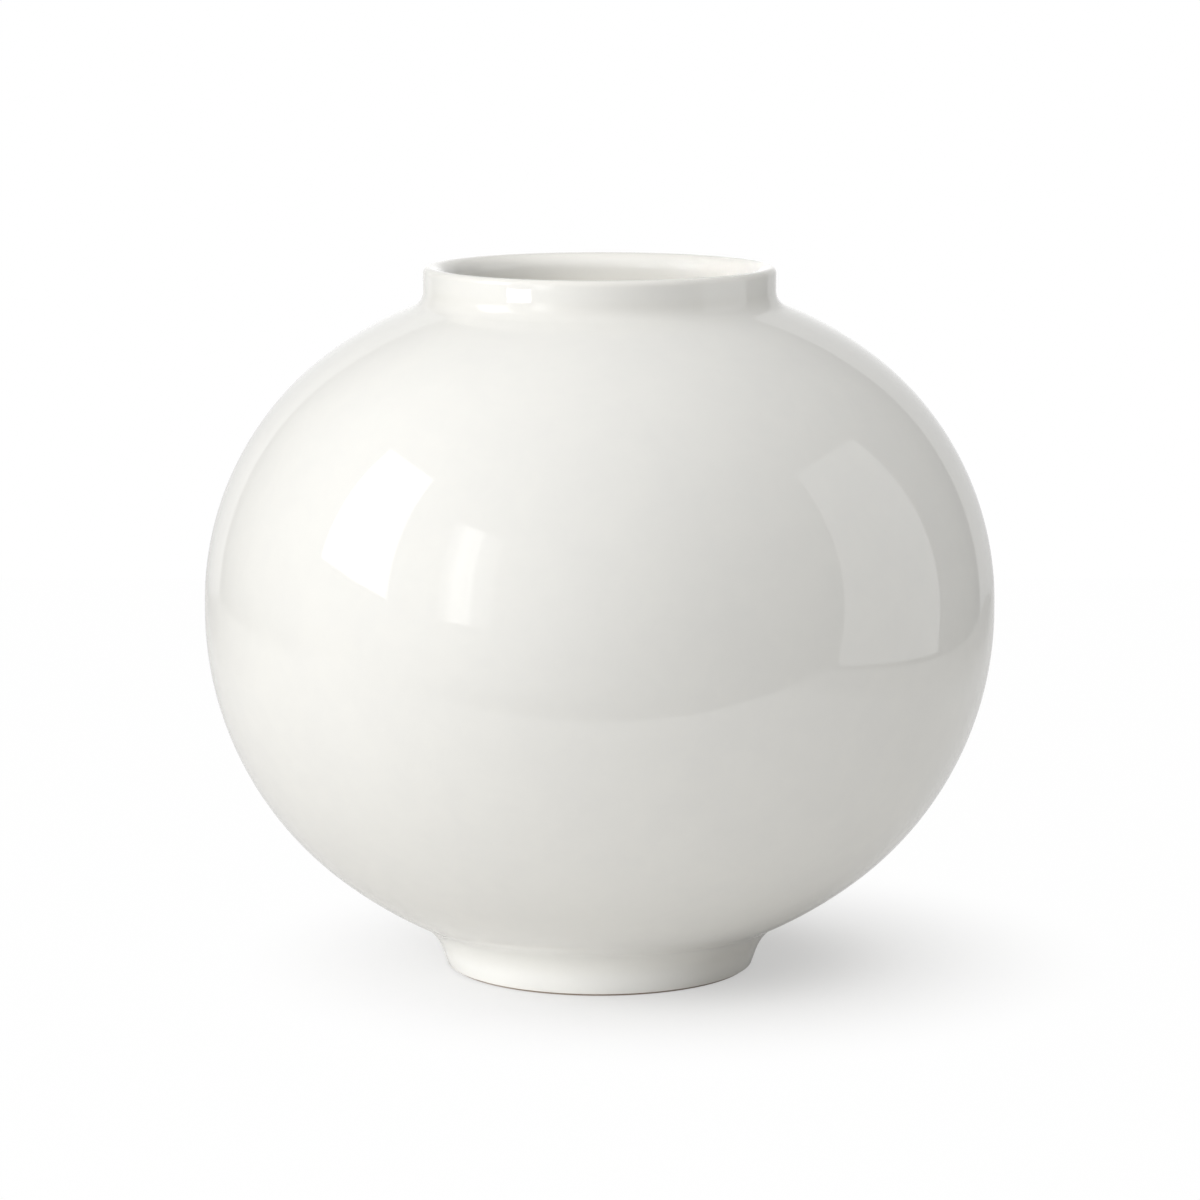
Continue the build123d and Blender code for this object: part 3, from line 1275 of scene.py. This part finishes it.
@dataclass
class Studio:
    """A pale table, a room with white behind it, the panels that light the jar, and the camera."""

    floor_left: float = -1.35
    floor_right: float = 1.05
    floor_front: float = -0.60
    floor_back: float = 1.45
    floor_colour: Colour = (0.790, 0.783, 0.770)
    floor_dryness: float = 0.9
    floor_grain: float = 240.0
    floor_speckle: float = 0.04
    # painted shadow: the floor's colour darkens to this close under the jar's foot
    painted_shadow_colour: Colour = (0.45, 0.44, 0.42)
    painted_shadow_from: float = 0.06
    painted_shadow_to: float = 0.15
    shadow_middle: Place = (0.04, 0.01, 0.0)
    near_white: float = 0.48
    far_white: float = 0.99
    white_from: float = 0.05
    white_to: float = 0.26
    mirrored_white: float = 0.4
    mirror_front: float = -0.25
    mirror_back: float = 0.0
    view_side: float = 0.55
    view_end: float = 0.85
    room_radius: float = 2.4
    room_segments: int = 96
    room_back: float = 1.8
    room_glow: float = 0.01
    backdrop_glow: float = 0.675
    washes: tuple[Wash, ...] = (
        Wash((0.0, 0.0, 1.0), 0.65),
        Wash((-1.0, -1.0, 0.0), 1.12),
        Wash((0.0, -1.0, 0.0), 0.24),
        Wash((0.0, -1.0, 1.0), 0.49),
        Wash((0.0, 0.7, 1.0), 0.21),
        Wash((-1.0, 0.7, 0.15), 0.15, 4.0),
        Wash((1.0, 0.7, 0.1), 0.225, 4.0),
    )
    backdrop_washes: tuple[Wash, ...] = (Wash((0.0, 1.0, 0.22), 0.55, 30.0),)
    skirt_low: float = -0.35
    skirt_top: float = 0.05
    skirt_share: float = 0.3
    bounces: int = 8
    camera_place: Place = (0.0002, -2.5684, 0.6169)
    camera_pitch: float = math.radians(9.0)
    camera_lens: float = 137.0
    panels: tuple[Panel, ...] = (KEY_LIGHT, KEY_LIGHT_EDGE, STRIP_LIGHT, BOARD)
    lamps: tuple[GriddedLamp | LampBank, ...] = (
        FOOT_LAMP,
        FRONT_MOUTH_LAMP,
        LEFT_MOUTH_LAMP,
        LampBank(),
    )

    def build(self) -> None:
        """Sets up the whole studio."""
        scene = bpy.context.scene
        scene.view_settings.view_transform = "Standard"
        scene.cycles.diffuse_bounces = self.bounces
        self.floor()
        self.room()
        for lamp in self.lamps:
            lamp.build()
        for panel in self.panels:
            thing, material = panel.build()
            self.keep(thing, panel.name, material, False)
        scene.world = self.world()
        scene.camera = self.camera()

    def keep(self, thing: Object, name: str, material: Material, shown: bool) -> None:
        """Names a stage object, gives it its material and sets whether the camera sees it.

        Args:
            thing: The object.
            name: Its name.
            material: Its material.
            shown: Whether the camera sees it.
        """
        thing.name = thing.data.name = name
        thing.visible_camera = shown
        dress(thing, material)
        log.info("%s is on the stage", name)

    def floor(self) -> None:
        """Lays the pale table top, whose edges the jar mirrors."""
        bpy.ops.object.select_all(action="DESELECT")
        bpy.ops.mesh.primitive_plane_add(size=1.0)
        bpy.ops.object.mode_set(mode="EDIT")
        wide, deep = self.floor_right - self.floor_left, self.floor_back - self.floor_front
        bpy.ops.transform.resize(value=(wide, deep, 1.0))
        middle = (self.floor_left + wide / 2, self.floor_front + deep / 2, 0.0)
        bpy.ops.transform.translate(value=middle)
        bpy.ops.object.mode_set(mode="OBJECT")
        self.keep(bpy.context.object, "floor", self.table_top(), True)

    def room(self) -> None:
        """Puts a dim round room about the table, and a paler backdrop behind it."""
        room = self.washed("room", self.room_glow, self.washes)
        self.keep(self.shell(front=True), "room", room, False)
        backdrop = self.washed("backdrop", self.backdrop_glow, self.backdrop_washes)
        self.keep(self.shell(front=False), "backdrop", backdrop, False)

    def washed(self, name: str, base: float, washes: tuple[Wash, ...]) -> Material:
        """A glow that some sides add to, and that dims below the table.

        Args:
            name: The material's name.
            base: The glow on all sides.
            washes: What single sides add.

        Returns:
            The material.
        """
        material, bench, light = new_light(name)
        way = bench.vector("NORMALIZE", bench.add("TexCoord").outputs["Object"])["Vector"]
        glow: NodeSocket | float = base
        for wash in washes:
            facing = bench.vector("DOT_PRODUCT", way, Vector(wash.axis).normalized())["Value"]
            share = bench.math("POWER", bench.math("MAXIMUM", facing, 0.0), wash.tightness)
            glow = bench.math("MULTIPLY_ADD", share, wash.glow, glow)
        skirt = bench.ease(bench.split(way)["Z"], self.skirt_low, self.skirt_top, self.skirt_share)
        bench.feed(light, Strength=bench.math("MULTIPLY", glow, skirt))
        return material

    def shell(self, front: bool) -> Object:
        """The front or the back of a sphere about the table, cut off where the backdrop starts.

        Args:
            front: Whether to keep the front.

        Returns:
            The shell.
        """
        bpy.ops.object.select_all(action="DESELECT")
        bpy.ops.mesh.primitive_uv_sphere_add(
            segments=self.room_segments, ring_count=self.room_segments // 2, radius=self.room_radius
        )
        bpy.ops.object.mode_set(mode="EDIT")
        bpy.ops.mesh.select_all(action="SELECT")
        bpy.ops.mesh.bisect(
            plane_co=(0.0, self.room_back, 0.0),
            plane_no=(0.0, 1.0, 0.0),
            clear_outer=front,
            clear_inner=not front,
        )
        bpy.ops.object.mode_set(mode="OBJECT")
        return bpy.context.object

    def table_top(self) -> Material:
        """A matt, pale surface that takes the jar's shadow, has a painted shadow darkening its colour close
        under the jar, and whitens away from it, as far as the view goes.

        Returns:
            The material.
        """
        material, bench, place, surface = new_material("floor")
        away = bench.vector("DISTANCE", place, self.shadow_middle)["Value"]
        # painted shadow: the floor's colour is darker near the jar's foot and fades back to the table's
        # colour further out
        clear_of_painted_shadow = bench.ease(away, self.painted_shadow_from, self.painted_shadow_to)
        colour = bench.tint(clear_of_painted_shadow, self.painted_shadow_colour, self.floor_colour)
        grain = bench.noise(place, self.floor_grain, Detail=3.0)
        speckled = bench.tint(bench.between(grain, 0.0, self.floor_speckle), colour, (0.0, 0.0, 0.0))
        bench.feed(surface, Base_Color=speckled, Roughness=self.floor_dryness, Specular_IOR_Level=0.0)
        whiter = bench.ease(away, self.white_from, self.white_to, self.near_white, self.far_white)
        spot = bench.split(place)
        aside = bench.math("ABSOLUTE", spot["X"])
        in_view = bench.ease(aside, self.view_side, self.view_end, 1.0, 0.0)
        white_share = bench.math("MULTIPLY", whiter, in_view)
        mirrored = bench.ease(spot["Y"], self.mirror_front, self.mirror_back, 1.0, self.mirrored_white)
        seen = looked_at(bench, mirrored)
        mixed = bench.feed(bench.add("MixShader"), Fac=bench.math("MULTIPLY", seen, white_share))
        bench.plug(mixed.inputs[1], surface.outputs["BSDF"])
        bench.plug(mixed.inputs[2], bench.add("Emission").outputs[0])
        out = next(node for node in bench.tree.nodes if node.type == "OUTPUT_MATERIAL")
        bench.feed(out, Surface=mixed.outputs[0])
        return material

    def world(self) -> World:
        """The white that the camera sees behind the table.

        Returns:
            The world.
        """
        world = bpy.data.worlds.new("studio")
        bench = emptied(world)
        white = bench.feed(bench.add("Background"), Color=(1.0, 1.0, 1.0, 1.0))
        bench.feed(white, Strength=looked_at(bench))
        bench.feed(bench.add("OutputWorld"), Surface=white.outputs[0])
        return world

    def camera(self) -> Object:
        """Stands the camera where the photograph was taken from.

        Returns:
            The camera.
        """
        turned = (math.pi / 2 - self.camera_pitch, 0.0, 0.0)
        bpy.ops.object.camera_add(location=self.camera_place, rotation=turned)
        camera = bpy.context.object
        camera.data.lens = self.camera_lens
        return camera


def looked_at(bench: Bench, mirrored: NodeSocket | float = 1.0) -> NodeSocket:
    """1 for rays from the camera or through glass, a share of it for a mirror's, and 0 for light on its way.

    Args:
        bench: The nodes to use it in.
        mirrored: What rays from a mirror get.

    Returns:
        The mask.
    """
    path = bench.add("LightPath").outputs
    mirror = bench.math("MULTIPLY_ADD", path["Is Glossy Ray"], mirrored, path["Is Transmission Ray"])
    return bench.math("MINIMUM", bench.math("ADD", path["Is Camera Ray"], mirror), 1.0)


def new_light(name: str) -> tuple[Material, Bench, Node]:
    """A material that only glows.

    Args:
        name: The material's name.

    Returns:
        The material, its nodes and the emission.
    """
    material = bpy.data.materials.new(name)
    bench = emptied(material)
    light = bench.add("Emission")
    bench.feed(bench.add("OutputMaterial"), Surface=light.outputs[0])
    return material, bench, light


def main() -> None:
    """Builds the jar's coats and foot, dresses its clay and sets up the studio."""
    logging.basicConfig(level=logging.INFO, format="%(message)s")
    form, shop = JarForm(), EffectShop()
    GlazeCoats(form, shop).build()
    BareFoot(form, shop).build()
    ClayBody(shop).dress()
    Studio().build()


if __name__ == "__main__":
    main()
